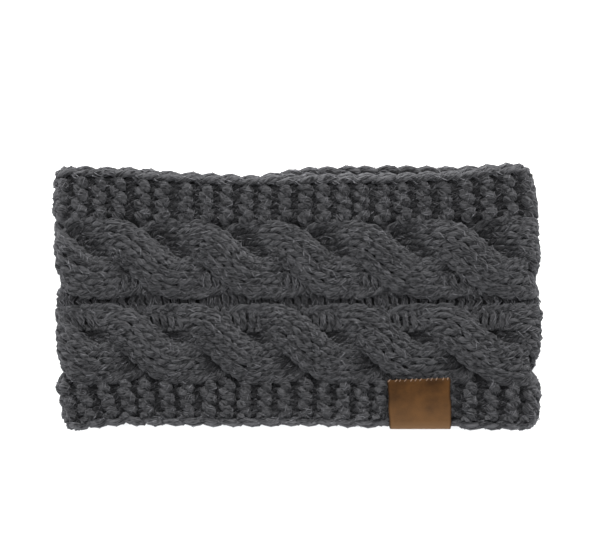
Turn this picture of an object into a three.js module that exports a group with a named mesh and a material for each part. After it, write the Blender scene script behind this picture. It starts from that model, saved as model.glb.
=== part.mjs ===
// Ear warmer headband in chunky cable knit, lying flat as a closed loop, with a folded leather label.
// Millimetres, +Z up. X runs along the band from fold to fold, Y runs across it from the lower edge to the
// upper edge, and the front layer lies above the back layer. The origin is the bottom centre of the object.
import * as THREE from 'three';
import { ParametricGeometry } from 'three/addons/geometries/ParametricGeometry.js';
import { mergeVertices } from 'three/addons/utils/BufferGeometryUtils.js';

// Overall sizes of the folded band
const bandLength = 210;
const bandWidth = 110.5;

// The loop: ground fabric, the turn at each fold, and the rest on a flat surface
const groundWall = 3.8;
const foldRadius = 7.6;
const frontSag = 1.6;
const restFlattening = 0.8;

// Bands of stitch across the width
const topBorder = 21.2;
const bottomBorder = 19.0;
const channelWidth = 3.0;

// Rope cables
const cableRepeat = 34.4;
const crossingLength = 27;
const crossingFromMiddle = 4.5;
const strandRise = 4.6;

// Garter borders and their chain selvedges
const ridgePitch = 8.3;
const ridgeRise = 1.6;
const selvedgeWidth = 4.2;
const selvedgeRise = 0.9;
const selvedgeTurn = 0.7;

// Leather label, folded round the lower edge of the front layer
const labelWidth = 26.6;
const labelOuterLeg = 21.4;
const labelInnerLeg = 14;
const labelThickness = 1.2;
const labelFromEnd = 38.1;
const labelBend = 2.4;
const labelDrop = 0.45;
const labelLean = THREE.MathUtils.degToRad(2);

// Gap between pieces that touch, and the width over which the knit gives way beside the label
const clearance = 0.3;
const labelPressWidth = 4;

// Share of the flat run, from the middle, after which the stitches spread towards the folds
const spreadFrom = 0.3;

// Facets
const segmentsPerRidge = 3;
const labelSteps = 6;
const labelBendSegments = 8;
const mergeDistance = 1e-4;
const rowsPerCable = 8;
const rowsPerBorder = 3;

// Crest of a strand as a share of its full rise, by distance in repeats from where it crosses over the other
const crestOutline = [
  { past: 0.00, crest: 1.00 },
  { past: 0.25, crest: 0.97 },
  { past: 0.50, crest: 0.86 },
  { past: 0.62, crest: 0.74 },
  { past: 0.75, crest: 0.48 },
  { past: 0.88, crest: 0.14 },
  { past: 1.00, crest: 0.00 },
];

// Outline of the folds: reach of the left and right fold, as shares of half the band's length,
// by place across the band, from -1 at the lower edge to 1 at the upper edge
const foldOutline = [
  { across: -1.00, left: 0.940, right: 0.942 },
  { across: -0.93, left: 0.955, right: 0.978 },
  { across: -0.80, left: 0.966, right: 0.990 },
  { across: -0.68, left: 0.978, right: 0.994 },
  { across: -0.40, left: 0.972, right: 0.996 },
  { across: -0.20, left: 0.966, right: 0.988 },
  { across: -0.02, left: 0.972, right: 0.988 },
  { across: 0.16, left: 0.972, right: 0.998 },
  { across: 0.42, left: 0.982, right: 1.000 },
  { across: 0.60, left: 0.988, right: 0.990 },
  { across: 0.68, left: 1.000, right: 0.994 },
  { across: 0.85, left: 0.992, right: 0.982 },
  { across: 1.00, left: 0.984, right: 0.960 },
];

// Outline of the long edges: rise of the front layer's upper edge, the back layer's upper edge and the lower
// edge, as shares of half the band's width, by place along the band, from -1 at the left to 1 at the right
const edgeOutline = [
  { along: -1.00, front: 0.007, back: 0.007, lower: -0.024 },
  { along: -0.88, front: 0.028, back: 0.004, lower: -0.030 },
  { along: -0.70, front: 0.024, back: 0.000, lower: 0.012 },
  { along: -0.50, front: -0.007, back: -0.012, lower: 0.018 },
  { along: -0.19, front: -0.030, back: -0.014, lower: 0.003 },
  { along: 0.05, front: -0.034, back: 0.016, lower: 0.016 },
  { along: 0.40, front: -0.038, back: 0.028, lower: -0.004 },
  { along: 0.63, front: -0.022, back: 0.018, lower: -0.008 },
  { along: 0.88, front: 0.036, back: 0.040, lower: -0.020 },
  { along: 1.00, front: 0.028, back: 0.028, lower: -0.018 },
];

// Worked out from the sizes above
const halfLength = bandLength / 2;
const halfWidth = bandWidth / 2;
const cableWidth = (bandWidth - topBorder - bottomBorder - channelWidth) / 2;
const strandHalf = cableWidth / 4;
const upperCable = halfWidth - topBorder - cableWidth / 2;
const lowerCable = -halfWidth + bottomBorder + cableWidth / 2;
const cableRows = foldOutline.filter((row) => (
  Math.abs(row.across * halfWidth - (upperCable + lowerCable) / 2) < cableWidth + channelWidth / 2
));
const cableReach = Math.min(...cableRows.flatMap((row) => [row.left, row.right]));
const flatHalf = cableReach * halfLength - foldRadius - strandRise;
const foldShare = Math.PI * foldRadius;
const loopLength = 4 * flatHalf + 2 * foldShare;
const repeats = Math.round(loopLength / cableRepeat);
const ridges = Math.round(loopLength / ridgePitch);
const middleHeight = foldRadius + strandRise - restFlattening;
const labelRight = halfLength - labelFromEnd;
const labelLeft = labelRight - labelWidth;
const labelMiddle = (labelLeft + labelRight) / 2;
const labelTip = -halfWidth - labelDrop;
const labelTop = labelTip + labelOuterLeg;

// Value of one column of a table at a place, in a straight line from row to row
function tableValue(table, key, column, place) {
  const last = table.length - 1;
  if (place <= table[0][key]) return table[0][column];
  if (place >= table[last][key]) return table[last][column];
  const next = table.findIndex((row) => row[key] > place);
  const low = table[next - 1];
  const high = table[next];
  return THREE.MathUtils.lerp(low[column], high[column], (place - low[key]) / (high[key] - low[key]));
}

// Height of a two-strand rope cable over the ground, by distance from the cable's middle line
// and by place along the band in repeats counted from a crossing
function cableHeight(fromMiddle, place) {
  const nearest = Math.round(place);
  let height = 0;
  for (const crossing of [nearest - 1, nearest, nearest + 1]) {
    const beside = (place - crossing) * cableRepeat;
    const turn = THREE.MathUtils.clamp((beside / crossingLength) * Math.PI, -Math.PI / 2, Math.PI / 2);
    const centre = -strandHalf * Math.sin(turn);
    const slope = -strandHalf * Math.cos(turn) * (Math.PI / crossingLength);
    const distance = (Math.abs(fromMiddle - centre) / Math.hypot(1, slope)) / strandHalf;
    const crest = strandRise * tableValue(crestOutline, 'past', 'crest', Math.abs(place - crossing));
    if (distance < 1) height = Math.max(height, crest * Math.sqrt(1 - distance * distance));
  }
  return height;
}

// Height of the knit over the ground's outer face at a place round the loop and across the band
function reliefHeight(around, across) {
  if (across > upperCable + cableWidth / 2 || across < lowerCable - cableWidth / 2) {
    const ridge = ridgeRise * (0.5 + 0.5 * Math.cos((around / loopLength) * ridges * 2 * Math.PI));
    const fromEdge = halfWidth - Math.abs(across);
    if (fromEdge >= selvedgeWidth) return ridge;
    const roll = Math.sin((fromEdge / selvedgeWidth) * Math.PI);
    return (selvedgeRise + ridge / 3) * roll;
  }
  const place = ((around - flatHalf - crossingFromMiddle) / loopLength) * repeats;
  if (across > upperCable - cableWidth / 2) return cableHeight(across - upperCable, place);
  if (across < lowerCable + cableWidth / 2) return cableHeight(across - lowerCable, place);
  return 0;
}

// Mean crest of the knit over the ground at a place across the band
function crestHeight(across) {
  for (const middle of [upperCable, lowerCable]) {
    const share = Math.abs(across - middle) / (cableWidth / 2);
    if (share < 1) return strandRise * (1 - share ** 4);
  }
  return Math.abs(across - (upperCable + lowerCable) / 2) < channelWidth ? 0 : ridgeRise;
}

// Sag of the front layer at a place along the band
function sagAt(x) {
  return frontSag * Math.cos((Math.PI / 2) * THREE.MathUtils.clamp(x / flatHalf, -1, 1)) ** 2;
}

// How far the label presses on the knit at a place: 1 under it, 0 away from it
function labelPress(x) {
  const outside = Math.max(labelLeft - x, x - labelRight, 0);
  return 1 - THREE.MathUtils.smoothstep(outside, labelPressWidth / 2, labelPressWidth * 1.5);
}

// How far the fold of a row reaches past the end of the flat run, on the side of x
function spreadAt(across, x) {
  const reach = tableValue(foldOutline, 'across', x > 0 ? 'right' : 'left', across / halfWidth);
  return reach * halfLength - foldRadius - crestHeight(across) - flatHalf;
}

// Place in the X and Z plane for a distance round the loop, at a height over the ground's outer face.
// layer is 1 on the front, -1 on the back and between the two in a fold.
function loopPlace(around, across, height) {
  const half = 2 * flatHalf + foldShare;
  const onFront = around < half;
  const along = around % half;
  const side = onFront ? 1 : -1;
  const radius = foldRadius + height;
  if (along <= 2 * flatHalf) {
    const x = side * (along - flatHalf);
    const nearFold = THREE.MathUtils.smoothstep(Math.abs(x), spreadFrom * flatHalf, flatHalf);
    const sag = onFront ? sagAt(x) : 0;
    return {
      x: x + Math.sign(x) * spreadAt(across, x) * nearFold,
      z: middleHeight + side * radius - sag,
      layer: side,
    };
  }
  const angle = ((along - 2 * flatHalf) / foldShare) * Math.PI;
  return {
    x: side * (flatHalf + spreadAt(across, side) + radius * Math.sin(angle)),
    z: middleHeight + side * radius * Math.cos(angle),
    layer: side * Math.cos(angle),
  };
}

// Place across the band after the long edges have their outline
function acrossPlace(across, x, layer) {
  const along = x / halfLength;
  const rise = across > 0
    ? THREE.MathUtils.lerp(
      tableValue(edgeOutline, 'along', 'back', along),
      tableValue(edgeOutline, 'along', 'front', along),
      (layer + 1) / 2,
    )
    : tableValue(edgeOutline, 'along', 'lower', along);
  const borderStart = across > 0 ? upperCable : -lowerCable;
  const weight = THREE.MathUtils.smoothstep(Math.abs(across), borderStart, halfWidth);
  const outlined = across + rise * halfWidth * weight;
  if (layer < 0.99) return outlined;
  const seat = labelTip + labelThickness + clearance;
  return outlined + labelPress(x) * Math.max(0, seat + (across + halfWidth) - outlined) * (across < 0 ? weight : 0);
}

// Rows round the band's cross-section, from the lower edge up the outer face and back down the inner face.
// sink is the depth below the ground's outer face, and is null where the knit's relief stands on it.
function sectionRows() {
  const rows = [];
  const outer = (from, to, count) => {
    for (let step = 0; step < count; step += 1) {
      rows.push({ across: THREE.MathUtils.lerp(from, to, step / count), sink: null });
    }
  };
  const lowerStart = lowerCable - cableWidth / 2;
  const upperEnd = upperCable + cableWidth / 2;
  rows.push({ across: -halfWidth, sink: groundWall / 2 });
  rows.push({ across: -halfWidth + selvedgeTurn, sink: groundWall * 0.1 });
  outer(-halfWidth + selvedgeWidth / 2, -halfWidth + selvedgeWidth, 1);
  outer(-halfWidth + selvedgeWidth, lowerStart, rowsPerBorder);
  outer(lowerStart, lowerStart + cableWidth, rowsPerCable);
  outer(lowerStart + cableWidth, upperEnd - cableWidth, 1);
  outer(upperEnd - cableWidth, upperEnd, rowsPerCable);
  outer(upperEnd, halfWidth - selvedgeWidth, rowsPerBorder);
  outer(halfWidth - selvedgeWidth, halfWidth - selvedgeWidth / 2, 1);
  outer(halfWidth - selvedgeWidth / 2, halfWidth, 1);
  rows.push({ across: halfWidth - selvedgeTurn, sink: groundWall * 0.1 });
  rows.push({ across: halfWidth, sink: groundWall / 2 });
  rows.push({ across: halfWidth - selvedgeTurn, sink: groundWall * 0.9 });
  for (const across of [upperEnd, (upperCable + lowerCable) / 2, lowerStart]) {
    rows.push({ across, sink: groundWall });
  }
  rows.push({ across: -halfWidth + selvedgeTurn, sink: groundWall * 0.9 });
  return rows;
}

// A closed solid from a surface whose two directions both come back to their start
function closedSurface(place, around, rows) {
  const surface = new ParametricGeometry(place, around, rows);
  surface.deleteAttribute('normal');
  surface.deleteAttribute('uv');
  const solid = mergeVertices(surface, mergeDistance);
  solid.computeVertexNormals();
  return solid;
}

// The knitted band
function knitBand() {
  const rows = sectionRows();
  const place = (u, v, target) => {
    const around = (u % 1) * loopLength;
    const row = rows[Math.round(v * rows.length) % rows.length];
    let height = row.sink === null ? reliefHeight(around, row.across) : -row.sink;
    const flat = loopPlace(around, row.across, 0);
    if (flat.layer === 1 && row.across < labelTop + labelPressWidth) {
      const press = labelPress(flat.x);
      height = THREE.MathUtils.lerp(height, Math.min(height, ridgeRise), press);
    }
    const at = loopPlace(around, row.across, height);
    target.set(at.x, acrossPlace(row.across, at.x, at.layer), Math.max(at.z, 0));
  };
  return closedSurface(place, ridges * segmentsPerRidge, rows.length);
}

// The leather label: a strip of one thickness bent round the edge, leaning a little, bent to the layer's sag
function leatherLabel() {
  const outerFace = ridgeRise + clearance + labelThickness;
  const innerFace = -groundWall - clearance - labelThickness;
  const middle = (outerFace + innerFace) / 2;
  const outerHeight = (outerFace - innerFace) / 2;
  const innerHeight = outerHeight - labelThickness;
  const bendStart = labelTip + labelBend;
  const outline = new THREE.Shape();
  outline.moveTo(labelTop, outerFace);
  outline.lineTo(bendStart, outerFace);
  outline.absellipse(bendStart, middle, labelBend, outerHeight, Math.PI / 2, 1.5 * Math.PI, false);
  outline.lineTo(bendStart + labelInnerLeg, innerFace);
  outline.lineTo(bendStart + labelInnerLeg, innerFace + labelThickness);
  outline.lineTo(bendStart, innerFace + labelThickness);
  outline.absellipse(bendStart, middle, labelBend - labelThickness, innerHeight, 1.5 * Math.PI, Math.PI / 2, true);
  outline.lineTo(labelTop, outerFace - labelThickness);
  outline.closePath();
  const strip = new THREE.ExtrudeGeometry(outline, {
    depth: labelWidth, steps: labelSteps, curveSegments: labelBendSegments, bevelEnabled: false,
  });
  strip.rotateX(Math.PI / 2);
  strip.rotateZ(Math.PI / 2);
  const points = strip.attributes.position;
  for (let index = 0; index < points.count; index += 1) {
    const x = labelLeft + points.getX(index);
    const y = points.getY(index);
    const up = (y - labelTip) / labelOuterLeg;
    points.setXYZ(
      index,
      x - Math.tan(labelLean) * (y - labelTip),
      y + Math.tan(labelLean) * (x - labelMiddle) * up,
      points.getZ(index) + middleHeight + foldRadius - sagAt(x),
    );
  }
  strip.deleteAttribute('normal');
  strip.deleteAttribute('uv');
  const solid = mergeVertices(strip, mergeDistance);
  solid.computeVertexNormals();
  return solid;
}

const knitMaterial = new THREE.MeshStandardMaterial({ color: 0x3f3f42, roughness: 0.95, metalness: 0 });
const leatherMaterial = new THREE.MeshStandardMaterial({ color: 0x5b4330, roughness: 0.6, metalness: 0 });

const headband = new THREE.Group();
const band = new THREE.Mesh(knitBand(), knitMaterial);
band.name = 'knit_band';
const label = new THREE.Mesh(leatherLabel(), leatherMaterial);
label.name = 'label';
headband.add(band, label);

// The origin goes to the bottom centre of the whole object
const extent = new THREE.Box3().setFromObject(headband);
const centre = extent.getCenter(new THREE.Vector3());
headband.position.set(-centre.x, -centre.y, -extent.min.z);

export default headband;
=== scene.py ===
# Looks of the cable-knit ear warmer headband, lying flat with its front layer up. Metres, +Z up.
# X runs along the band from fold to fold, and Y across it from the lower edge to the upper edge.
import math

import bmesh
import bpy
import numpy as np
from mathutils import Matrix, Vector


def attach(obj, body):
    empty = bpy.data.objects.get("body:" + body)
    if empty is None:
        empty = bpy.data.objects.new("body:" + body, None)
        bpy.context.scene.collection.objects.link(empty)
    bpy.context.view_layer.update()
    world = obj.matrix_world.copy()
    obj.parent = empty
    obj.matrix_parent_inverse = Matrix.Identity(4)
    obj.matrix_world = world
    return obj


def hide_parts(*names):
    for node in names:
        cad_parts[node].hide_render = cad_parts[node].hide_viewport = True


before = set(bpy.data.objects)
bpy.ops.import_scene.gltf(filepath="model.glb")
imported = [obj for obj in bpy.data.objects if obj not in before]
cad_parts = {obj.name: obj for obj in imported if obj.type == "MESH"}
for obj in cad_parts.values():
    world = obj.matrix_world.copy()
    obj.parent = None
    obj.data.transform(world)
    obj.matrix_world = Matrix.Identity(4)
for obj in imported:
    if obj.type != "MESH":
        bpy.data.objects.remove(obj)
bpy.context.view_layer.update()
MM = 0.001

# Camera, light and floor
# The band is seen from straight above, as it lies on a white table. Soft light comes from above and from all
# sides, a little more of it from beyond the band's upper edge.
scene = bpy.context.scene
scene.view_settings.view_transform = "Standard"

photo_width = 600
photo_height = 539
band_length = 210 * MM
band_length_px = 493
metres_per_pixel = band_length / band_length_px
band_centre_px = (296.0, 298.0)
camera_height = 1.6

camera_data = bpy.data.cameras.new("camera")
camera = bpy.data.objects.new("camera", camera_data)
scene.collection.objects.link(camera)
camera.location = (
    (photo_width / 2 - band_centre_px[0]) * metres_per_pixel,
    (band_centre_px[1] - photo_height / 2) * metres_per_pixel,
    camera_height,
)
top_of_band = 20 * MM
sensor_mm = 36
camera_data.sensor_width = sensor_mm
camera_data.lens = sensor_mm * (camera_height - top_of_band) / (photo_width * metres_per_pixel)
scene.camera = camera


def soft_light(name, place, aim, size, watts, colour):
    """An area light at a place, turned to an aim."""
    data = bpy.data.lights.new(name, "AREA")
    data.shape = "RECTANGLE"
    data.size, data.size_y = size
    data.energy = watts
    data.color = colour
    light = bpy.data.objects.new(name, data)
    light.location = place
    direction = light.location - Vector(aim)
    light.rotation_euler = direction.to_track_quat("Z", "Y").to_euler()
    scene.collection.objects.link(light)


soft_light("light_beyond", (0.05, 0.75, 0.75), (0, 0, 0), (0.7, 0.5), 20.0, (1.0, 0.99, 0.97))
soft_light("light_low", (0.1, 1.1, 0.22), (0, 0, 0.01), (1.4, 0.25), 12.0, (1.0, 0.99, 0.97))
soft_light("light_left", (-1.1, 0, 0.18), (0, 0, 0.01), (1.0, 0.25), 10.0, (1.0, 1.0, 1.0))
soft_light("light_right", (1.1, 0, 0.18), (0, 0, 0.01), (1.0, 0.25), 10.0, (1.0, 1.0, 1.0))
soft_light("light_near", (0, -1.1, 0.22), (0, 0, 0.01), (1.4, 0.25), 5.0, (1.0, 1.0, 1.0))
soft_light("light_above", (-0.25, 0.05, 1.2), (0, 0, 0), (0.9, 0.9), 12.0, (1.0, 1.0, 1.0))

world = bpy.data.worlds.new("studio")
scene.world = world
world.use_nodes = True
background = world.node_tree.nodes["Background"]
background.inputs["Color"].default_value = (0.96, 0.98, 1.0, 1)
background.inputs["Strength"].default_value = 1.05

floor_half = 1.5
floor_mesh = bpy.data.meshes.new("floor")
shape = bmesh.new()
bmesh.ops.create_grid(shape, x_segments=1, y_segments=1, size=floor_half)
shape.to_mesh(floor_mesh)
shape.free()
floor = bpy.data.objects.new("floor", floor_mesh)
scene.collection.objects.link(floor)

paper = bpy.data.materials.new("white_table")
paper.use_nodes = True
paper_shader = paper.node_tree.nodes["Principled BSDF"]
paper_shader.inputs["Base Color"].default_value = (0.93, 0.93, 0.93, 1)
paper_shader.inputs["Roughness"].default_value = 0.85
floor_mesh.materials.append(paper)

# Ground of the band
# One piece of knitting joined to a closed loop, turned at both folds. A thin closed sheet of the same wool
# backs the yarn everywhere, painted far darker than the yarn as the shade that shows between the stitches.
band_width = 110.5 * MM
ground_wall = 3.8 * MM
fold_radius = 7.6 * MM
front_sag = 1.6 * MM
top_border = 21.2 * MM
bottom_border = 19.0 * MM
channel_width = 3.0 * MM
cable_repeat = 34.4 * MM
strand_rise = 4.6 * MM
rest_flattening = 0.8 * MM
selvedge_width = 4.2 * MM
origin_shift = (-0.568 * MM, -0.274 * MM)

fold_outline = {
    "across": (-1.0, -0.93, -0.80, -0.68, -0.40, -0.20, -0.02, 0.16, 0.42, 0.60, 0.68, 0.85, 1.0),
    "left": (0.926, 0.942, 0.950, 0.972, 0.978, 0.978, 0.978, 0.980, 0.986, 0.982, 0.984, 0.980, 0.974),
    "right": (0.960, 0.994, 1.000, 1.002, 1.010, 1.010, 1.010, 1.010, 1.006, 0.996, 0.992, 0.980, 0.955),
}
edge_outline = {
    "along": (-1.0, -0.88, -0.70, -0.50, -0.19, 0.05, 0.40, 0.63, 0.88, 1.0),
    "front": (0.007, 0.014, 0.008, -0.028, -0.056, -0.044, -0.038, -0.022, 0.036, 0.020),
    "back": (0.007, 0.000, -0.010, -0.040, -0.062, 0.012, 0.024, 0.012, 0.040, 0.020),
    "lower": (-0.010, -0.016, 0.030, 0.022, 0.016, 0.022, 0.002, -0.008, -0.010, -0.018),
}

half_length = band_length / 2
half_width = band_width / 2
cable_width = (band_width - top_border - bottom_border - channel_width) / 2
strand_half = cable_width / 4
upper_cable = half_width - top_border - cable_width / 2
lower_cable = -half_width + bottom_border + cable_width / 2
cable_reach = 0.966
spread_from = 0.3
flat_half = cable_reach * half_length - fold_radius - strand_rise
fold_share = math.pi * fold_radius
half_loop = 2 * flat_half + fold_share
loop_length = 4 * flat_half + 2 * fold_share
repeats = round(loop_length / cable_repeat)
repeat_length = loop_length / repeats
middle_height = fold_radius + strand_rise - rest_flattening

label_width = 26.6 * MM
label_leg = 21.4 * MM
label_thickness = 1.2 * MM
label_from_end = 38.1 * MM
label_overhang = 0.45 * MM
label_press_width = 2.8 * MM
label_press_fade = (1 * MM, 3 * MM)
label_back_room = 0.6 * MM
yarn_room = 1.2
clearance = 0.3 * MM
ridge_rise = 1.6 * MM
label_right = half_length - label_from_end
label_left = label_right - label_width
label_tip = -half_width - label_overhang
label_top = label_tip + label_leg
label_inner_leg = 14 * MM
label_bend = 3.4 * MM
label_outer = ridge_rise + clearance + label_thickness
label_inner = -ground_wall - clearance - label_thickness


def smoothstep(low, high, value):
    """Eased share, from 0 to 1, of the way from a low to a high value."""
    share = np.clip((value - low) / (high - low), 0, 1)
    return share * share * (3 - 2 * share)


def sag_at(x):
    """How far the front layer sags between the folds."""
    return front_sag * np.cos(math.pi / 2 * np.clip(x / flat_half, -1, 1)) ** 2


def label_press(x):
    """How much of the label's squeeze the knit feels, from 0 to 1, by place along the band."""
    outside = np.maximum(np.maximum(label_left - x, x - label_right), 0)
    return 1 - smoothstep(label_press_width / 2, label_press_width * 1.5, outside)


def crest_height(across):
    """Greatest height of the knit over its ground, by place across."""
    crest = np.where(np.abs(across - (upper_cable + lower_cable) / 2) < channel_width, 0, ridge_rise)
    for middle in (upper_cable, lower_cable):
        share = np.abs(across - middle) / (cable_width / 2)
        crest = np.where(share < 1, np.maximum(strand_rise * (1 - share**4), ridge_rise), crest)
    return crest


def on_band(around, across, height, floor_gap=0.0):
    """Points in the frame for distances round the loop, places across it and heights over the ground.

    The band turns round at its folds, lies flat on the floor, and is pressed thin inside the label. The floor
    gap is what a point keeps free under it, such as the radius of its yarn.
    """
    around, across, height = np.broadcast_arrays(around, across, height)
    around = around % loop_length
    front = around < half_loop
    side = np.where(front, 1.0, -1.0)
    along = around % half_loop
    flat_x = side * (along - flat_half)
    sag = np.where(front, sag_at(flat_x), 0)
    share = across / half_width
    room = yarn_room * floor_gap
    flat = along <= 2 * flat_half
    end = np.where(flat, np.sign(flat_x), side)
    reach = np.where(
        end > 0,
        np.interp(share, fold_outline["across"], fold_outline["right"]),
        np.interp(share, fold_outline["across"], fold_outline["left"]),
    )
    spread = reach * half_length - fold_radius - crest_height(across) - flat_half
    near_fold = smoothstep(spread_from * flat_half, flat_half, np.abs(flat_x))
    pressed = label_press(flat_x + end * spread * near_fold) * front * flat
    pressed = pressed * smoothstep(label_top + label_press_fade[1], label_top + label_press_fade[0], across)
    bent = np.clip(1 - (across + half_width - floor_gap) / label_bend, 0, 0.95)
    squeeze = (label_outer - label_inner) / 2 * (1 - np.sqrt(1 - bent**2))
    highest = label_outer - label_thickness - room - squeeze
    lowest = np.minimum(label_inner + label_thickness + room + squeeze, highest)
    height = height + pressed * (np.clip(height, lowest, highest) - height)
    angle = np.clip((along - 2 * flat_half) / fold_share, 0, 1) * math.pi
    radius = fold_radius + height
    fold_x = side * (flat_half + spread + radius * np.sin(angle))
    x = np.where(flat, flat_x + end * spread * near_fold, fold_x)
    z = middle_height + side * np.where(flat, radius, radius * np.cos(angle)) - np.where(flat, sag, 0)
    layer = np.where(flat, side, side * np.cos(angle))
    place = x / half_length
    upper = np.interp(place, edge_outline["along"], edge_outline["back"]) * (1 - layer) / 2
    upper = upper + np.interp(place, edge_outline["along"], edge_outline["front"]) * (1 + layer) / 2
    lower = np.interp(place, edge_outline["along"], edge_outline["lower"])
    start = np.where(across > 0, upper_cable, -lower_cable)
    weight = smoothstep(start, half_width, np.abs(across))
    y = across + np.where(across > 0, upper, lower) * half_width * weight
    seat = label_tip + label_thickness + clearance
    pinch = np.maximum(0, seat + (across + half_width) - y) * weight
    y = y + pressed * pinch
    y = y + pressed * np.maximum(0, seat + room - y)
    behind = label_press(x) * flat * (side < 0)
    y = y + behind * np.maximum(0, label_tip + label_back_room + room - y)
    z = np.maximum(z, floor_gap)
    return np.stack([x + origin_shift[0], y + origin_shift[1], z], axis=-1)


crossing_length = 27 * MM
dive_length = 19 * MM
crossing_start = flat_half + 4.5 * MM
quarter_turn = math.pi / 2


def from_crossing(place):
    """Repeats from the nearest place where a strand crosses over the other, from -1 to 1."""
    return (place + 1) % 2 - 1


def lane_of(place):
    """Lane of a strand from 1, the upper, to -1, by place in repeats from where it crosses over."""
    beside = from_crossing(place)
    past = beside - np.sign(beside)
    over = -np.sin(np.clip(beside * repeat_length / crossing_length * math.pi, -quarter_turn, quarter_turn))
    under = np.sin(np.clip(past * repeat_length / dive_length * math.pi, -quarter_turn, quarter_turn))
    return np.where(np.abs(beside) <= 0.5, over, under)


# A strand rises where it crosses over, and a repeat away from there it lies deep under the other
crest_by_place = {
    "place": (-1.0, -0.90, -0.77, -0.65, -0.54, -0.42, -0.25, 0.0, 0.25, 0.42, 0.54, 0.65, 0.77, 0.90, 1.0),
    "crest": (-0.55, -0.50, -0.30, 0.06, 0.46, 0.82, 1.02, 1.08, 1.04, 0.94, 0.74, 0.40, 0.0, -0.40, -0.55),
}


def crest_of(place):
    """Height of a strand's crest over the ground, by place in repeats from where it crosses over."""
    return strand_rise * np.interp(from_crossing(place), crest_by_place["place"], crest_by_place["crest"])


def cable_height(from_middle, place):
    """Height of a cable over the ground, by distance from its middle and place in repeats."""
    height = np.zeros(np.broadcast(from_middle, place).shape)
    for strand in (0, 1):
        mine = place + strand
        step = 0.002
        slope = strand_half * (lane_of(mine + step) - lane_of(mine - step)) / (2 * step * repeat_length)
        distance = np.abs(from_middle - strand_half * lane_of(mine)) / np.hypot(1, slope) / strand_half
        dome = crest_of(mine) * np.sqrt(np.maximum(0, 1 - distance**2))
        height = np.maximum(height, dome)
    return height


ridge_pitch = 8.3 * MM
ridges = round(loop_length / ridge_pitch)
course_pitch = loop_length / ridges / 2
backing_depth = 3.1 * MM
backing_wave = 0.9 * MM
backing_around = 392
backing_rows = 60
backing_wall = 0.6 * MM
backing_inset = 1.5 * MM
backing_floor_gap = 0.9 * MM
edge_lift = 2.0 * MM
edge_lift_range = (5 * MM, 3 * MM)


def edge_rise(across):
    """How far the backing rises behind the selvedges, by place across."""
    inner, outer = edge_lift_range
    return edge_lift * smoothstep(half_width - inner, half_width - outer, np.abs(across))


def backing_height(around, across):
    """Height of the backing's outer face, which stays under the yarn."""
    place = (around - crossing_start) / repeat_length
    wave = backing_wave * np.cos(2 * math.pi * (around / course_pitch / 2 - 0.25))
    height = -backing_depth + np.broadcast_to(wave, np.broadcast(around, across).shape)
    for middle in (upper_cable, lower_cable):
        share = np.abs(across - middle) / (cable_width / 2)
        cable = cable_height(across - middle, place) - backing_depth
        height = np.where(share < 1, cable + (height - cable) * smoothstep(0.8, 1.0, share), height)
    return height + edge_rise(across)


def outward_at(around):
    """Directions along the band and away from its ground, for distances round the loop."""
    side = np.where(around % loop_length < half_loop, 1.0, -1.0)
    angle = np.clip((around % half_loop - 2 * flat_half) / fold_share, 0, 1) * math.pi
    along = np.stack([side * np.cos(angle), 0 * angle, -side * np.sin(angle)], axis=-1)
    away = np.stack([side * np.sin(angle), 0 * angle, side * np.cos(angle)], axis=-1)
    return along, away


def new_piece(name, mesh, material):
    """A smooth piece of one material, which rides on the band's one body."""
    piece = bpy.data.objects.new(name, mesh)
    scene.collection.objects.link(piece)
    mesh.materials.clear()
    mesh.materials.append(material)
    for face in mesh.polygons:
        face.use_smooth = True
    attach(piece, "root")
    return piece


def maths(tree, operation, *values):
    """The result of a maths node of a tree, given numbers or sockets."""
    node = tree.nodes.new("ShaderNodeMath")
    node.operation = operation
    for socket, value in zip(node.inputs, values):
        if isinstance(value, (int, float)):
            socket.default_value = value
        else:
            tree.links.new(value, socket)
    return node.outputs[0]


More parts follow.
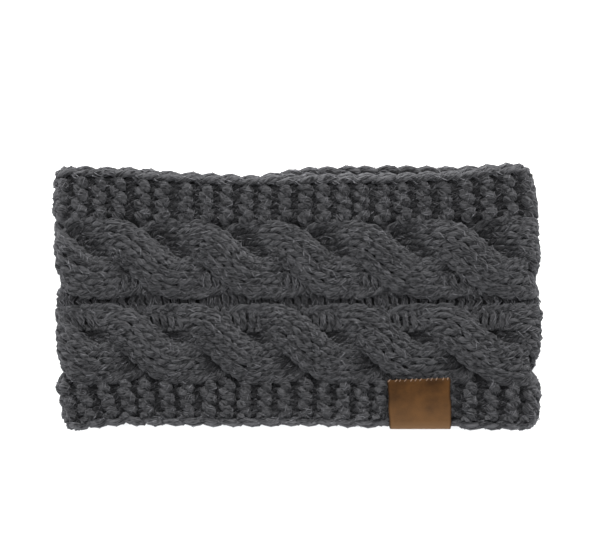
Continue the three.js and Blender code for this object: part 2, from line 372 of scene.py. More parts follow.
def yarn_group():
    """Plies and fibres of a yarn, from the UV map that runs along it and round it."""
    group = bpy.data.node_groups.new("yarn_fibres", "ShaderNodeTree")
    for name, value in (("Twists", 12.0), ("Length", 20.0)):
        socket = group.interface.new_socket(name=name, in_out="INPUT", socket_type="NodeSocketFloat")
        socket.default_value = value
    for name in ("Height", "Shade"):
        group.interface.new_socket(name=name, in_out="OUTPUT", socket_type="NodeSocketFloat")
    nodes, links = group.nodes, group.links
    given = nodes.new("NodeGroupInput")
    result = nodes.new("NodeGroupOutput")

    def fibres(along, across, detail):
        """Noise drawn out along the twist of the yarn."""
        vector = nodes.new("ShaderNodeCombineXYZ")
        angle = maths(group, "MULTIPLY", helix, 2 * math.pi)
        for axis, wave in (("X", "COSINE"), ("Y", "SINE")):
            links.new(maths(group, "MULTIPLY", maths(group, wave, angle), across), vector.inputs[axis])
        links.new(maths(group, "MULTIPLY", run, along), vector.inputs["Z"])
        seeded = nodes.new("ShaderNodeVectorMath")
        seeded.operation = "ADD"
        links.new(vector.outputs[0], seeded.inputs[0])
        links.new(coarse.outputs[0], seeded.inputs[1])
        noise = nodes.new("ShaderNodeTexNoise")
        noise.inputs["Scale"].default_value = 1.0
        noise.inputs["Detail"].default_value = detail
        links.new(seeded.outputs[0], noise.inputs["Vector"])
        return noise.outputs[0]

    uv = nodes.new("ShaderNodeUVMap")
    split = nodes.new("ShaderNodeSeparateXYZ")
    links.new(uv.outputs[0], split.inputs[0])
    run = maths(group, "MULTIPLY", split.outputs["X"], given.outputs["Length"])
    twist = maths(group, "MULTIPLY", split.outputs["X"], given.outputs["Twists"])
    helix = maths(group, "ADD", split.outputs["Y"], twist)
    place = nodes.new("ShaderNodeTexCoord")
    coarse = nodes.new("ShaderNodeVectorMath")
    coarse.operation = "SCALE"
    links.new(place.outputs["Object"], coarse.inputs[0])
    coarse.inputs["Scale"].default_value = 40.0

    def lines(noise, sharpness):
        """Thin bright lines where a noise passes through its middle value."""
        distance = maths(group, "ABSOLUTE", maths(group, "SUBTRACT", noise, 0.5))
        line = maths(group, "SUBTRACT", 1.0, maths(group, "MULTIPLY", distance, sharpness))
        return maths(group, "MAXIMUM", line, 0.0)

    plies = maths(group, "ABSOLUTE", maths(group, "SINE", maths(group, "MULTIPLY", helix, 2 * math.pi)))
    strands = fibres(0.22, 1.0, 1.0)
    hairs = fibres(0.35, 2.1, 2.0)
    coarse_lines = lines(strands, 11.0)
    fine_lines = lines(hairs, 10.0)
    matting = nodes.new("ShaderNodeTexNoise")
    matting.inputs["Scale"].default_value = 620.0
    matting.inputs["Detail"].default_value = 2.0
    links.new(place.outputs["Object"], matting.inputs["Vector"])
    matted = maths(group, "MULTIPLY", maths(group, "SUBTRACT", matting.outputs[0], 0.5), 1.3)
    # The plies' share in the shade darkens the grooves between the plies: painted shade
    weights = ((plies, 0.15, 0.15), (coarse_lines, 0.30, 0.5), (fine_lines, 0.15, 0.35), (matted, 0.12, 1.0))
    height = 0.0
    shade = 0.0
    for value, in_height, in_shade in weights:
        height = maths(group, "MULTIPLY_ADD", value, in_height, height)
        shade = maths(group, "MULTIPLY_ADD", value, in_shade, shade)
    links.new(height, result.inputs["Height"])
    links.new(maths(group, "MAXIMUM", shade, 0.0), result.inputs["Shade"])
    return group


yarn_fibres = yarn_group()


def colour_ramp(nodes, *stops):
    """A colour ramp of the given stops, each a position and a colour."""
    ramp = nodes.new("ShaderNodeValToRGB")
    elements = ramp.color_ramp.elements
    elements.remove(elements[1])
    for number, (position, colour) in enumerate(stops):
        stop = elements.new(position) if number else elements[0]
        stop.position = position
        stop.color = (*colour, 1)
    return ramp


def wool_material(name, length, twists, dark, light):
    """Charcoal wool between two greys; length and twists are those of one path of its piece."""
    material = bpy.data.materials.new(name)
    material.use_nodes = True
    nodes, links = material.node_tree.nodes, material.node_tree.links
    shader = nodes["Principled BSDF"]
    shader.inputs["Roughness"].default_value = 0.9
    shader.inputs["Specular IOR Level"].default_value = 0.06
    shader.inputs["Sheen Weight"].default_value = 0.1
    shader.inputs["Sheen Roughness"].default_value = 0.35
    shader.inputs["Sheen Tint"].default_value = (0.75, 0.76, 0.8, 1)
    yarn = nodes.new("ShaderNodeGroup")
    yarn.node_tree = yarn_fibres
    yarn.inputs["Length"].default_value = length / MM
    yarn.inputs["Twists"].default_value = twists
    # Painted shade: this attribute darkens the yarn in the hollows between the stitches
    depth = nodes.new("ShaderNodeAttribute")
    depth.attribute_name = "depth"
    open_share = maths(material.node_tree, "MULTIPLY_ADD", depth.outputs["Fac"], -0.8, 1.0)
    shade = maths(material.node_tree, "MULTIPLY", yarn.outputs["Shade"], open_share)
    ramp = colour_ramp(nodes, (0.05, (dark, dark, dark * 1.1)), (0.66, (light, light, light * 1.06)))
    links.new(shade, ramp.inputs["Fac"])
    # Painted rim light: the wool near the folds and edges is made paler, standing in for the light it catches
    # there
    painted_rim_light = nodes.new("ShaderNodeAttribute")
    painted_rim_light.attribute_name = "painted_rim_light"
    paler = maths(material.node_tree, "MULTIPLY_ADD", painted_rim_light.outputs["Fac"], 1.15, 1.0)
    lightened = nodes.new("ShaderNodeVectorMath")
    lightened.operation = "SCALE"
    links.new(ramp.outputs["Color"], lightened.inputs[0])
    links.new(paler, lightened.inputs["Scale"])
    links.new(lightened.outputs[0], shader.inputs["Base Color"])
    bump = nodes.new("ShaderNodeBump")
    bump.inputs["Strength"].default_value = 1.0
    bump.inputs["Distance"].default_value = 1.4 * MM
    links.new(yarn.outputs["Height"], bump.inputs["Height"])
    links.new(bump.outputs["Normal"], shader.inputs["Normal"])
    return material


backing = bmesh.new()
bmesh.ops.create_grid(backing, x_segments=backing_around, y_segments=backing_rows, size=0.5)
grid = np.array([vertex.co[:2] for vertex in backing.verts]) + 0.5
around = grid[:, 0] * loop_length
turn = np.round(grid[:, 1] * backing_rows) / backing_rows
edge = half_width - backing_inset
outward = turn < 0.5
across = np.where(outward, -edge + 4 * turn * edge, 3 * edge - 4 * turn * edge)
wave_below = np.minimum(backing_height(around, across), -backing_depth + backing_wave + edge_rise(across))
height = np.where(outward, backing_height(around, across), wave_below - backing_wall)
tip = np.minimum(np.abs(turn), np.minimum(np.abs(turn - 0.5), np.abs(turn - 1))) < 0.25 / backing_rows
height = np.where(tip, -backing_depth + edge_lift - backing_wall / 2, height)
for vertex, place in zip(backing.verts, on_band(around, across, height, backing_floor_gap)):
    vertex.co = place
bmesh.ops.remove_doubles(backing, verts=backing.verts, dist=1e-6)
bmesh.ops.recalc_face_normals(backing, faces=backing.faces)
backing_mesh = bpy.data.meshes.new("knit_ground")
backing.to_mesh(backing_mesh)
backing.free()
# Painted shade: the backing's wool is far darker than the yarn's, standing in for the shade between the
# stitches
painted_shade_ground_wool = wool_material("painted_shade_ground_wool", loop_length, 0, 0.004, 0.012)
knit_ground = new_piece("knit_ground", backing_mesh, painted_shade_ground_wool)
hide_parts("knit_band")

# Rope cables
# Each cable is two strands of plain knitting that change lanes over each other, always the same way round.
# The stitches run along the strand and wrap its rounded back, each V tucked under the next.
strand_yarn = 1.35 * MM
strand_courses = 8 * repeats
strand_wales = 4
strand_arc = math.radians(86)
strand_lift = 0.78 * strand_yarn
strand_lean = 0.75
strand_hidden_from = 0.9
slope_step = 0.004
loop_samples = 16
yarn_sides = 6
generator = np.random.default_rng(7)

# Before it crosses over, a strand dips on the side where the other one has just left it
dip_place = 0.57
dip_spread = 0.17
dip_depth = 2.2 * MM

# Half a stitch of each kind from the middle of its sinker to the middle of its head: place across the wale,
# place along it in courses, face from back (-1) to front (1), and girth of the yarn
plain_stitch = {
    "wale": (0.00, 0.36, 0.25, 0.13, 0.20, 0.50),
    "course": (-0.82, -0.62, -0.06, 0.48, 0.80, 0.92),
    "face": (-1.1, 0.2, 1.0, 0.35, -0.8, -1.1),
    "girth": (0.7, 0.82, 1.12, 0.98, 0.75, 0.7),
}


def whole_stitch(half):
    """The columns of a whole stitch from those of its first half, evenly sampled along a smooth curve."""
    stitch = {}
    for column, values in half.items():
        mirrored = [1 - value if column == "wale" else value for value in values[-2:0:-1]]
        keys = np.array(list(values) + mirrored)
        drift = np.arange(len(keys)) / len(keys) if column == "wale" else np.zeros(len(keys))
        spot = np.arange(loop_samples) / loop_samples * len(keys)
        first = np.floor(spot).astype(int)
        part = spot - first
        a, b, c, d = ((keys - drift)[(first + shift) % len(keys)] for shift in (-1, 0, 1, 2))
        curve = b + part * (c - a) / 2 + part**2 * (a - 2.5 * b + 2 * c - d / 2)
        curve = curve + part**3 * (1.5 * (b - c) + (d - a) / 2)
        stitch[column] = curve + (spot / len(keys) if column == "wale" else 0)
    return stitch


def row_of(stitch, wales, slant=0.0):
    """The columns of a row of stitches side by side, closed by the start of one more."""
    row = {}
    for column, values in stitch.items():
        repeated = np.tile(values, wales + 1)[: wales * loop_samples + 1]
        if column == "wale":
            repeated = repeated + np.arange(wales * loop_samples + 1) // loop_samples
        row[column] = repeated
    turn = np.arange(wales * loop_samples + 1) / loop_samples * 2 * math.pi
    row["course"] = row["course"] - slant * np.sin(2 * turn)
    return row


def drawn(size, wales):
    """A random size for each stitch of a row, eased from stitch to stitch."""
    marks = generator.normal(0, size, wales + 2)
    return np.interp(np.arange(wales * loop_samples + 1) / loop_samples, np.arange(wales + 2), marks)


def yarn_mesh(name, paths, radius, girths):
    """A mesh of round yarns along paths, made by a bevelled curve."""
    curve = bpy.data.curves.new(name, "CURVE")
    curve.dimensions = "3D"
    curve.bevel_depth = radius
    curve.bevel_resolution = yarn_sides // 2 - 2
    curve.use_fill_caps = True
    for path, girth in zip(paths, girths):
        spline = curve.splines.new("POLY")
        spline.points.add(len(path) - 1)
        spline.points.foreach_set("co", np.c_[path, np.ones(len(path))].ravel())
        spline.points.foreach_set("radius", girth)
    holder = bpy.data.objects.new(name, curve)
    scene.collection.objects.link(holder)
    graph = bpy.context.evaluated_depsgraph_get()
    mesh = bpy.data.meshes.new_from_object(holder.evaluated_get(graph))
    bpy.data.objects.remove(holder)
    bpy.data.curves.remove(curve)
    mesh.name = name
    return mesh


knitted = []


def yarn_piece(name, rows, radius, stitches, twists):
    """A knitted piece from its rows, each (around, across, height, girth), with its wool."""
    paths = [on_band(around, across, height, radius * girth) for around, across, height, girth in rows]
    girths = [row[3] for row in rows]
    length = np.mean([np.sum(np.linalg.norm(np.diff(path, axis=0), axis=1)) for path in paths[:20]])
    material = wool_material(name + "_wool", length, twists * stitches, 0.005, 0.036)
    piece = new_piece(name, yarn_mesh(name, paths, radius, girths), material)
    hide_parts("knit_band")
    knitted.append((piece.data, rows, paths))


# Length of a strand's path over two repeats, by place
fine_places = np.linspace(0, 2, 2001)
fine_across = strand_half * lane_of(fine_places)
fine_steps = np.hypot(np.diff(fine_places) * repeat_length, np.diff(fine_across))
fine_arc = np.concatenate([[0], np.cumsum(fine_steps)])
arc_of_two = fine_arc[-1]
course_length = arc_of_two * (repeats / 2) / strand_courses


def place_of_arc(arc):
    """Place in repeats by length along a strand's path."""
    turns = np.floor(arc / arc_of_two)
    return np.interp(arc - turns * arc_of_two, fine_arc, fine_places) + 2 * turns


def strand_rows(middle, strand):
    """Yarn of one strand of a cable, a row for each course that shows."""
    rows = []
    row = row_of(whole_stitch(plain_stitch), strand_wales)
    for course in range(strand_courses):
        arc = (course + row["course"] + drawn(0.1, strand_wales)) * course_length
        place = place_of_arc(arc)
        if np.min(np.abs(from_crossing(place))) > strand_hidden_from:
            continue
        wale = row["wale"] + drawn(0.06, strand_wales)
        angle = (wale / strand_wales - 0.5) * 2 * strand_arc
        change = lane_of(place + slope_step) - lane_of(place - slope_step)
        bearing = np.arctan(strand_half * change / (2 * slope_step * repeat_length))
        lean = strand_lean * bearing
        reach = (strand_half - strand_yarn) / np.cos(bearing - lean)
        crest = crest_of(place) - 2 * strand_yarn
        lift = strand_lift * row["face"] * (1 + drawn(0.15, strand_wales))
        sideways = (reach + lift) * np.sin(angle)
        height = (crest + lift) * np.cos(angle)
        emerging = np.exp(-(((from_crossing(place) + dip_place) / dip_spread) ** 2))
        height = height - dip_depth * emerging * smoothstep(0.3 * strand_half, -0.8 * strand_half, sideways)
        around = place * repeat_length - sideways * np.sin(lean) - strand * repeat_length + crossing_start
        across = middle + strand_half * lane_of(place) + sideways * np.cos(lean)
        rows.append((around, across, height, row["girth"]))
    return rows


for name, middle in (("upper_cable", upper_cable), ("lower_cable", lower_cable)):
    yarn_piece(name, strand_rows(middle, 0) + strand_rows(middle, 1), strand_yarn, strand_wales, 2.5)

# Garter borders
# Above and below the cables the band is garter stitch, whose ridges stand upright, two courses to a ridge.
# The ridges are the heads of one course caught in the sinkers of the next, plump and a little uneven.
border_yarn = 1.65 * MM
border_wales = 4
border_slant = 0.12
border_depth = 1.95 * MM
border_sway = 0.35 * MM
border_tuck = 3.0 * MM
border_tuck_range = (-1.5 * MM, 3 * MM)
garter_stitch = {
    "wale": (0.00, 0.24, 0.25, 0.24, 0.29, 0.50),
    "course": (-0.71, -0.58, 0.0, 0.58, 0.70, 0.75),
    "face": (-1.0, -0.85, 0.0, 0.85, 1.0, 1.05),
    "girth": (1.40, 1.1, 0.62, 1.1, 1.35, 1.42),
}


def garter_rows(low, high):
    """Yarn of a garter border between two places across the band; its last wale dips under the cable."""
    rows = []
    row = row_of(whole_stitch(garter_stitch), border_wales, border_slant)
    sway = generator.normal(0, border_sway, ridges)
    for course in range(2 * ridges):
        front = 1 if course % 2 == 0 else -1
        around = (course + row["course"] + drawn(0.09, border_wales)) * course_pitch + sway[course // 2]
        across = low + (high - low) * (row["wale"] + drawn(0.06, border_wales)) / border_wales
        height = -ground_wall / 2 + border_depth * front * row["face"] * (1 + drawn(0.12, border_wales))
        under = np.minimum(upper_end - across, across - lower_end)
        height = height - border_tuck * smoothstep(*border_tuck_range, under)
        rows.append((around, across, height, row["girth"]))
    return rows


upper_end = upper_cable + cable_width / 2
lower_end = lower_cable - cable_width / 2
top_edge = half_width - selvedge_width
bottom_edge = top_edge + 0.7 * MM
border_width = 22 * MM
for name, low, high in (
    ("top_border", top_edge - border_width, top_edge),
    ("bottom_border", -bottom_edge, border_width - bottom_edge),
):
    yarn_piece(name, garter_rows(low, high), border_yarn, border_wales, 2.5)

# Purl channel
# Between the cables a column of purl stitches lies low, and shows as tall leaning loops where the cables
# narrow at their crossings.
purl_stitch = {
    "wale": (0.00, 0.10, 0.22, 0.10, 0.18, 0.50),
    "course": (-0.62, -0.58, 0.0, 0.62, 0.78, 0.80),
    "face": (1.0, 0.7, -1.0, 0.5, 0.9, 1.0),
    "girth": (1.05, 0.95, 0.8, 0.95, 1.0, 1.05),
}
channel_yarn = 1.3 * MM
channel_courses = 10 * repeats
channel_reach = 25 * MM
channel_lean = 0.12
channel_depth = 2.9 * MM
channel_swing = 1.0 * MM
channel_rise = 1.8 * MM
channel_rise_range = (1 * MM, 6 * MM)
channel_wales = 3


def channel_rows():
    """Yarn of the purl channel."""
    rows = []
    row = row_of(whole_stitch(purl_stitch), channel_wales)
    for course in range(channel_courses):
        wale = row["wale"] + drawn(0.05, channel_wales) - channel_wales / 2
        from_middle = wale * channel_reach / channel_wales
        around = (course + row["course"] + drawn(0.1, channel_wales)) * loop_length / channel_courses
        around = around - channel_lean * from_middle
        across = (upper_cable + lower_cable) / 2 + from_middle
        height = -channel_depth + channel_swing * row["face"] * (1 + drawn(0.15, channel_wales))
        height = height + channel_rise * smoothstep(*channel_rise_range, np.abs(from_middle))
        rows.append((around, across, height, row["girth"]))
    return rows


yarn_piece("channel", channel_rows(), channel_yarn, channel_wales, 2.5)

# Chain selvedges
# The first stitch of every second course is slipped, which leaves one long chain link to each ridge, rolled
# round the edge.
chain_yarn = 1.5 * MM
chain_stitch = {
    "wale": (0.00, 0.38, 0.25, 0.10, 0.22, 0.50),
    "course": (-0.70, -0.52, -0.02, 0.44, 0.66, 0.72),
    "face": (-1.0, 0.1, 1.0, 0.3, -0.8, -1.0),
    "girth": (0.65, 0.75, 1.16, 1.0, 0.7, 0.65),
}
selvedge_roll = 2.6 * MM
selvedge_lift = 0.3 * MM
chain_radius = 1.1 * MM
chain_swing = 0.9 * MM
selvedge_turns = {1: math.radians(26), -1: math.radians(2)}
selvedge_arc = math.radians(205)


def chain_rows(side):
    """Yarn of the chain along the upper (1) or lower (-1) edge."""
    rows = []
    row = row_of(whole_stitch(chain_stitch), 1)
    for link in range(ridges):
        around = (2 * link + 1 - 2 * (row["course"] + drawn(0.05, 1))) * course_pitch
        angle = selvedge_turns[side] + (row["wale"] + drawn(0.04, 1) - 0.5) * selvedge_arc
        radius = chain_radius + chain_swing * row["face"]
        across = side * (half_width - selvedge_roll + radius * np.cos(angle))
        height = -ground_wall / 2 + selvedge_lift + radius * np.sin(angle)
        rows.append((around, across, height, row["girth"]))
    return rows


yarn_piece("top_selvedge", chain_rows(1), chain_yarn, 1, 2.0)
yarn_piece("bottom_selvedge", chain_rows(-1), chain_yarn, 1, 2.0)

# Loose fibres, painted shade and painted rim light
# The wool is matted by wear: fine fibres lie along every yarn or stand off it. The hollows between the
# stitches are painted darker, as painted shade, and the wool near the folds and edges paler, as a painted
# rim light. The fibres of the front layer are one piece, those of the back layer another, and the longer
# fuzz that stands off the folds and the edges a third.
cell = 0.5 * MM
field_reach = 60 * MM
field_floor = -5 * MM
close_reach = 1.1 * MM
wide_reach = 4.5 * MM
hollow_range = (0.1 * MM, 3.0 * MM)
valley_range = (0.1 * MM, 1.6 * MM)
# How far in the painted rim light reaches: from the edges, and from a fold's middle as a share of the fold
rim_light_edge = 4.2 * MM
rim_light_fold = 0.27


def blurred(field, reach):
    """A field over the band smoothed over a reach; it closes round the loop."""
    waves = [np.fft.fftfreq(size, cell) for size in field.shape]
    fade = np.exp(-2 * (math.pi * reach) ** 2 * (waves[0][:, None] ** 2 + waves[1][None, :] ** 2))
    return np.real(np.fft.ifft2(np.fft.fft2(field) * fade))


def rings_of(mesh, count):
    """The vertices of a yarn mesh by point of its paths and side of the yarn."""
    places = np.empty(3 * len(mesh.vertices))
    mesh.vertices.foreach_get("co", places)
    return places.reshape(-1, 3)[-count * yarn_sides :].reshape(count, yarn_sides, 3)


# Each yarn mesh by point and side: where it is in the frame, in cells of the band, and over the ground
surveys = []
for mesh, rows, paths in knitted:
    centres = np.concatenate(paths)
    rings = rings_of(mesh, len(centres))
    offsets = rings - centres[:, None]
    around, across, height = (np.concatenate([row[part] for row in rows]) for part in range(3))
    along, away = outward_at(around)
    ring_around = around[:, None] + np.sum(offsets * along[:, None], axis=2)
    ring_across = across[:, None] + offsets[..., 1]
    survey = {"mesh": mesh, "centres": centres, "rings": rings}
    survey["row"] = ((ring_around % loop_length) / cell).astype(int)
    survey["column"] = ((ring_across + field_reach) / cell).astype(int)
    survey["height"] = height[:, None] + np.sum(offsets * away[:, None], axis=2)
    surveys.append(survey)

field_shape = (int(loop_length / cell) + 1, int(2 * field_reach / cell) + 1)


def height_on(side, survey):
    """Heights of a yarn mesh over the ground on a side: 1 the outside of the band, -1 its inside."""
    return survey["height"] if side > 0 else -ground_wall - survey["height"]


def hollow_of(side):
    """Two fields of the band's face on a side: smoothed closely, and what a wide smoothing adds to that."""
    face = np.full(field_shape, field_floor)
    for survey in surveys:
        np.maximum.at(face, (survey["row"], survey["column"]), height_on(side, survey))
    for shift, axis in ((1, 0), (-1, 0), (1, 1), (-1, 1)):
        face = np.maximum(face, np.roll(face, shift, axis))
    close = blurred(face, close_reach)
    return close, blurred(face, wide_reach) - close


def from_fold(survey):
    """Distance round the loop from the middle of the nearest fold, as a share of a fold."""
    fold_middle = 2 * flat_half + fold_share / 2
    return np.abs(survey["row"] * cell % (loop_length / 2) - fold_middle) / fold_share


faces = {side: hollow_of(side) for side in (1, -1)}
# Painted shade: each point of yarn is darkened by how far it lies below the closely smoothed face, and in
# wide valleys
for survey in surveys:
    depth = np.ones(survey["height"].shape)
    for side, (close, wide) in faces.items():
        below = close[survey["row"], survey["column"]] - height_on(side, survey)
        valley = wide[survey["row"], survey["column"]]
        hollow = 0.9 * smoothstep(*hollow_range, below) + 0.95 * smoothstep(*valley_range, valley)
        depth = np.minimum(depth, hollow)
    survey["depth"] = depth
    # Painted rim light: the wool near the edges and the middle of the folds is made paler
    from_edge = half_width + MM - np.abs(survey["column"] * cell - field_reach)
    painted_rim_light = np.clip(1 - from_edge / rim_light_edge, 0, 1)
    painted_rim_light = np.maximum(painted_rim_light, np.clip(1 - from_fold(survey) / rim_light_fold, 0, 1))
    for title, at_caps, at_rings in (("depth", 1, depth), ("painted_rim_light", 0, painted_rim_light)):
        values = np.full(len(survey["mesh"].vertices), at_caps, dtype=float)
        values[-depth.size :] = at_rings.ravel()
        survey["mesh"].attributes.new(title, "FLOAT", "POINT").data.foreach_set("value", values)

fibre_counts = {"front_fibres": 17500, "back_fibres": 12500, "edge_fibres": 7000}
loose_shares = {"front_fibres": 0.2, "back_fibres": 0.2, "edge_fibres": 0.35}
fibre_radius = 0.14 * MM
fibre_floor = 0.05 * MM
fibre_strides = 3
longest_stride = 2
longest_fibre = 8 * MM
open_yarn = 0.45
fuzzy_edge = (4.5 * MM, 1.5 * MM)
fuzzy_fold = 0.4
label_margin = (5 * MM, 4 * MM)


def fibre_material(name, dark, light):
    """Single fibres of the wool, paler than the mass of it, between two greys."""
    material = bpy.data.materials.new(name)
    material.use_nodes = True
    nodes, links = material.node_tree.nodes, material.node_tree.links
    shader = nodes["Principled BSDF"]
    shader.inputs["Roughness"].default_value = 0.8
    shader.inputs["Specular IOR Level"].default_value = 0.1
    coord = nodes.new("ShaderNodeTexCoord")
    noise = nodes.new("ShaderNodeTexNoise")
    noise.inputs["Scale"].default_value = 700.0
    links.new(coord.outputs["Object"], noise.inputs["Vector"])
    greys = colour_ramp(nodes, (0.35, (dark, dark, dark * 1.1)), (0.68, (light, light, light * 1.07)))
    links.new(noise.outputs[0], greys.inputs["Fac"])
    links.new(greys.outputs["Color"], shader.inputs["Base Color"])
    return material


fibre_wool = fibre_material("fibre_wool", 0.028, 0.105)
# Painted rim light: the fuzz at the folds and edges is paler than the other fibres
rim_lit_fuzz_wool = fibre_material("rim_lit_fuzz_wool", 0.035, 0.14)


def fibre_odds(name, survey):
    """How likely a fibre of a piece starts at each point and side of a yarn mesh."""
    in_front = survey["rings"][..., 2] > middle_height
    if name == "front_fibres":
        return np.where(in_front, 1.0, 0.0)
    if name == "back_fibres":
        return np.where(in_front, 0.0, 1.0)
    across = np.abs(survey["column"] * cell - field_reach)
    at_edge = smoothstep(half_width - fuzzy_edge[0], half_width - fuzzy_edge[1], across)
    return np.maximum(0.6 * np.clip(1 - from_fold(survey) / fuzzy_fold, 0, 1), at_edge)


def fibre_starts(name):
    """Chosen starts of a piece's fibres: survey, point and side, on open yarn away from the label."""
    found = []
    odds = []
    for number, survey in enumerate(surveys):
        rings = survey["rings"]
        weight = fibre_odds(name, survey) * (survey["depth"] < open_yarn)
        weight[-fibre_strides * longest_stride - 1 :] = 0
        beside, above = label_margin
        near_label = (rings[..., 0] > label_left - beside) & (rings[..., 0] < label_right + beside)
        near_label = near_label & (rings[..., 1] < label_top + above) & (rings[..., 2] > middle_height)
        point, side = np.nonzero(weight * ~near_label)
        found.append(np.stack([np.full(len(point), number), point, side], axis=1))
        odds.append(weight[point, side])
    found = np.concatenate(found)
    odds = np.concatenate(odds)
    return found[generator.choice(len(found), fibre_counts[name], replace=False, p=odds / odds.sum())]


def fibre_mesh(name):
    """One joined mesh of fibres, each a thin three-sided spindle that follows its yarn."""
    starts = fibre_starts(name)
    count = len(starts)
    shift = generator.choice((-1, 1, 1), count)
    stride = generator.choice((1, longest_stride, longest_stride), count)
    lift = 1 + 0.10 * generator.random((4, count)) + np.array([[-0.12], [0.04], [0.08], [-0.10]])
    loose = generator.random(count) < loose_shares[name]
    lift[3] = lift[3] + loose * (0.3 + 0.6 * generator.random(count))
    lift[2] = lift[2] + loose * 0.2
    knots = np.empty((4, count, 3))
    for number, survey in enumerate(surveys):
        centres, rings = survey["centres"], survey["rings"]
        mine = starts[:, 0] == number
        for knot in range(fibre_strides + 1):
            point = np.minimum(starts[mine, 1] + knot * stride[mine], len(centres) - 1)
            side = (starts[mine, 2] + knot * shift[mine]) % yarn_sides
            out = rings[point, side] - centres[point]
            knots[knot, mine] = centres[point] + out * lift[knot, mine, None]
    unbroken = np.linalg.norm(knots[3] - knots[0], axis=1) < longest_fibre
    knots = knots[:, unbroken]
    run = knots[2] - knots[1]
    run = run / np.linalg.norm(run, axis=1)[:, None]
    aside = np.cross(run, (0.3, 0.5, 0.8))
    aside = aside / np.linalg.norm(aside, axis=1)[:, None]
    upward = np.cross(run, aside)
    corners = [knots[0]]
    for knot in (1, 2):
        for turn in (0, 1, 2):
            angle = 2 * math.pi * turn / 3
            corners.append(knots[knot] + fibre_radius * (math.cos(angle) * aside + math.sin(angle) * upward))
    corners.append(knots[3])
    places = np.stack(corners, axis=1).reshape(-1, 3)
    places[:, 2] = np.maximum(places[:, 2], fibre_floor)
    pattern = []
    for turn in (0, 1, 2):
        after = (turn + 1) % 3
        pattern.append((0, 1 + after, 1 + turn))
        pattern.append((1 + turn, 1 + after, 4 + after))
        pattern.append((1 + turn, 4 + after, 4 + turn))
        pattern.append((4 + turn, 4 + after, 7))
    triangles = (np.arange(knots.shape[1])[:, None, None] * 8 + np.array(pattern)).reshape(-1, 3)
    mesh = bpy.data.meshes.new(name)
    mesh.from_pydata(places, [], triangles.tolist())
    return mesh


for name in fibre_counts:
    material = rim_lit_fuzz_wool if name == "edge_fibres" else fibre_wool
    fibres = new_piece(name, fibre_mesh(name), material)
    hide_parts("knit_band")

# Leather label
# A strip of brown leather folded over the lower edge, front and back, and sewn through along its top.
# It is smooth and mottled, a little raised between its stitches, and lighter at its fold, partly rubbed
# and partly a painted highlight.
label_lean = math.radians(2)
label_middle = (label_left + label_right) / 2
label_across = 28
label_down = 72
bend_start = label_tip + label_bend
bend_middle = (label_outer + label_inner) / 2
bend_height = (label_outer - label_inner - label_thickness) / 2
bend_reach = label_bend - label_thickness / 2
outer_run = label_top - bend_start
bend_run = math.pi * math.sqrt((bend_height**2 + bend_reach**2) / 2)
label_run = outer_run + bend_run + label_inner_leg


def on_label(across, down, lift=0.0):
    """Points on the label for shares of its width and of its run from the front top edge to the back one."""
    run = down * label_run
    turn = np.clip((run - outer_run) / bend_run, 0, 1) * math.pi
    back = np.maximum(run - outer_run - bend_run, 0)
    y = np.where(run < outer_run, label_top - run, bend_start - (bend_reach + lift) * np.sin(turn) + back)
    height = bend_middle + (bend_height + lift) * np.cos(turn)
    x = label_left + across * label_width
    up = (y - label_tip) / label_leg
    z = height + middle_height + fold_radius - sag_at(x)
    place_x = x - math.tan(label_lean) * (y - label_tip)
    place_y = y + math.tan(label_lean) * (x - label_middle) * up
    return np.stack([place_x + origin_shift[0], place_y + origin_shift[1], z], axis=-1)


stitch_pitch = 2.2 * MM
stitch_count = round(label_width / stitch_pitch)
stitch_inset = 0.9 * MM
stitch_pull = 0.28 * MM
ridge_print = 0.07 * MM
label_puff = 0.15 * MM
edge_waver = 0.12 * MM
corner_tuck = 0.55 * MM
corner_reach = 2.4 * MM


def label_lift(across, down):
    """How far the leather stands up between its stitches and over the ridges below it."""
    from_top = down * label_run
    pull = -stitch_pull * np.exp(-((from_top - stitch_inset) ** 2) / stitch_inset**2)
    pull = pull * (0.6 + 0.4 * np.cos(2 * math.pi * across * stitch_count))
    ridges_below = ridge_print * np.cos(2 * math.pi * across * label_width / ridge_pitch + 1.0 + 3 * down)
    puff = label_puff * np.sin(math.pi * across) * np.sin(math.pi * np.clip(down / 0.5, 0, 1))
    return pull + (ridges_below + puff) * (down < 0.5)


label_shape = bmesh.new()
bmesh.ops.create_grid(label_shape, x_segments=label_across, y_segments=label_down, size=0.5)
grid = np.array([vertex.co[:2] for vertex in label_shape.verts]) + 0.5
fold_place = (outer_run + bend_run / 2) / label_run
fold_tuck = corner_tuck * np.exp(-(((grid[:, 1] - fold_place) * label_run / corner_reach) ** 2))
edge_wave = (edge_waver * np.sin(grid[:, 1] * 23 + 1.0) - fold_tuck) / label_width * (grid[:, 0] - 0.5) * 2
on_leather = on_label(grid[:, 0] + edge_wave, grid[:, 1], label_lift(grid[:, 0], grid[:, 1]))
for vertex, place in zip(label_shape.verts, on_leather):
    vertex.co = place
bmesh.ops.recalc_face_normals(label_shape, faces=label_shape.faces)
label_mesh = bpy.data.meshes.new("leather_label")
label_shape.to_mesh(label_mesh)
label_shape.free()
label_uv = label_mesh.uv_layers.new(name="UVMap")
corners = np.empty(len(label_mesh.loops), dtype=int)
label_mesh.loops.foreach_get("vertex_index", corners)
label_uv.data.foreach_set("uv", grid[corners].ravel())

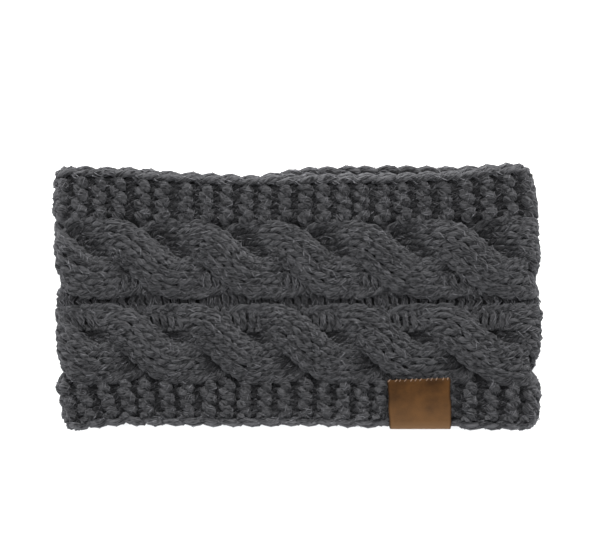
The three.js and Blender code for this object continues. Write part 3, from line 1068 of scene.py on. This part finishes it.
leather = bpy.data.materials.new("brown_leather")
leather.use_nodes = True
nodes, links = leather.node_tree.nodes, leather.node_tree.links
leather_shader = nodes["Principled BSDF"]
leather_shader.inputs["Roughness"].default_value = 0.68
leather_shader.inputs["Specular IOR Level"].default_value = 0.03
leather_uv = nodes.new("ShaderNodeUVMap")
leather_place = nodes.new("ShaderNodeSeparateXYZ")
links.new(leather_uv.outputs[0], leather_place.inputs[0])
leather_coord = nodes.new("ShaderNodeTexCoord")
mottle = nodes.new("ShaderNodeTexNoise")
mottle.inputs["Scale"].default_value = 90.0
mottle.inputs["Detail"].default_value = 6.0
mottle.inputs["Roughness"].default_value = 0.6
links.new(leather_coord.outputs["Object"], mottle.inputs["Vector"])
browns = colour_ramp(nodes, (0.37, (0.0145, 0.0060, 0.0017)), (0.65, (0.036, 0.0155, 0.0042)))
links.new(mottle.outputs[0], browns.inputs["Fac"])
# Lighter towards the fold: partly rubbed leather, partly a painted highlight along the fold
wear_and_highlight_by_run = {0.0: 0.1, 0.04: 0.0, 0.20: 0.08, 0.42: 0.26, 0.48: 0.7, 0.56: 0.9, 0.64: 0.1, 1.0: 0.0}
lightened = colour_ramp(nodes, *((run, (value,) * 3) for run, value in wear_and_highlight_by_run.items()))
links.new(leather_place.outputs["Y"], lightened.inputs["Fac"])
worn_and_lit = nodes.new("ShaderNodeMix")
worn_and_lit.data_type = "RGBA"
worn_and_lit.inputs["B"].default_value = (0.121, 0.068, 0.034, 1)
links.new(lightened.outputs["Color"], worn_and_lit.inputs["Factor"])
links.new(browns.outputs["Color"], worn_and_lit.inputs["A"])
# Darker along the side edges: the dark cut edges, and a painted shade along the sides
light_by_width = {0.0: 0.25, 0.035: 1.0, 0.965: 1.0, 1.0: 0.25}
shaded_cut_edges = colour_ramp(nodes, *((across, (value,) * 3) for across, value in light_by_width.items()))
links.new(leather_place.outputs["X"], shaded_cut_edges.inputs["Fac"])
darkened = nodes.new("ShaderNodeMix")
darkened.data_type = "RGBA"
darkened.blend_type = "MULTIPLY"
darkened.inputs["Factor"].default_value = 1.0
links.new(worn_and_lit.outputs["Result"], darkened.inputs["A"])
links.new(shaded_cut_edges.outputs["Color"], darkened.inputs["B"])
links.new(darkened.outputs["Result"], leather_shader.inputs["Base Color"])
grain = nodes.new("ShaderNodeTexVoronoi")
grain.inputs["Scale"].default_value = 1600.0
links.new(leather_coord.outputs["Object"], grain.inputs["Vector"])
creases = maths(leather.node_tree, "MULTIPLY_ADD", mottle.outputs[0], 2.0, grain.outputs["Distance"])
grain_bump = nodes.new("ShaderNodeBump")
grain_bump.inputs["Strength"].default_value = 0.5
grain_bump.inputs["Distance"].default_value = 0.12 * MM
links.new(creases, grain_bump.inputs["Height"])
links.new(grain_bump.outputs["Normal"], leather_shader.inputs["Normal"])

leather_label = new_piece("leather_label", label_mesh, leather)
wall = leather_label.modifiers.new("wall", "SOLIDIFY")
wall.thickness = label_thickness
wall.offset = 0
rounding = leather_label.modifiers.new("rounding", "BEVEL")
rounding.width = 0.25 * MM
rounding.segments = 2
rounding.limit_method = "ANGLE"
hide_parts("label")

thread = bpy.data.materials.new("tan_thread")
thread.use_nodes = True
nodes, links = thread.node_tree.nodes, thread.node_tree.links
thread_shader = nodes["Principled BSDF"]
thread_shader.inputs["Roughness"].default_value = 0.7
thread_coord = nodes.new("ShaderNodeTexCoord")
thread_noise = nodes.new("ShaderNodeTexNoise")
thread_noise.inputs["Scale"].default_value = 2500.0
links.new(thread_coord.outputs["Object"], thread_noise.inputs["Vector"])
tans = colour_ramp(nodes, (0.3, (0.050, 0.024, 0.012)), (0.7, (0.13, 0.078, 0.048)))
links.new(thread_noise.outputs[0], tans.inputs["Fac"])
links.new(tans.outputs["Color"], thread_shader.inputs["Base Color"])

thread_radius = 0.22 * MM
stitch_from_top = 0.75 * MM
stitch_length = 1.0 * MM
stitch_sunk = 0.5 * MM
stitch_rise = 0.68 * MM
stitch_dive = 0.9 * MM
stitch_steps = 8
stitch_paths = []
for number in range(stitch_count):
    along = np.linspace(0, 1, stitch_steps + 1)
    hump = np.sin(math.pi * along)
    start = (number + 0.5 + generator.normal(0, 0.12)) / stitch_count
    lean = generator.normal(0.19, 0.08) / stitch_count
    run = stitch_from_top - along * stitch_length
    above = label_thickness / 2 - stitch_sunk + stitch_rise * hump**0.6
    above = above - stitch_dive * smoothstep(0.6, 1.0, along)
    path = on_label(start + lean * (2 * along - 1), np.maximum(run, 0) / label_run, 0.0)
    path[:, 1] -= np.minimum(run, 0)
    path[:, 2] += above
    stitch_paths.append(path)
even_girths = [np.ones(stitch_steps + 1)] * stitch_count
stitch_mesh = yarn_mesh("label_stitches", stitch_paths, thread_radius, even_girths)
label_stitches = new_piece("label_stitches", stitch_mesh, thread)
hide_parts("label")
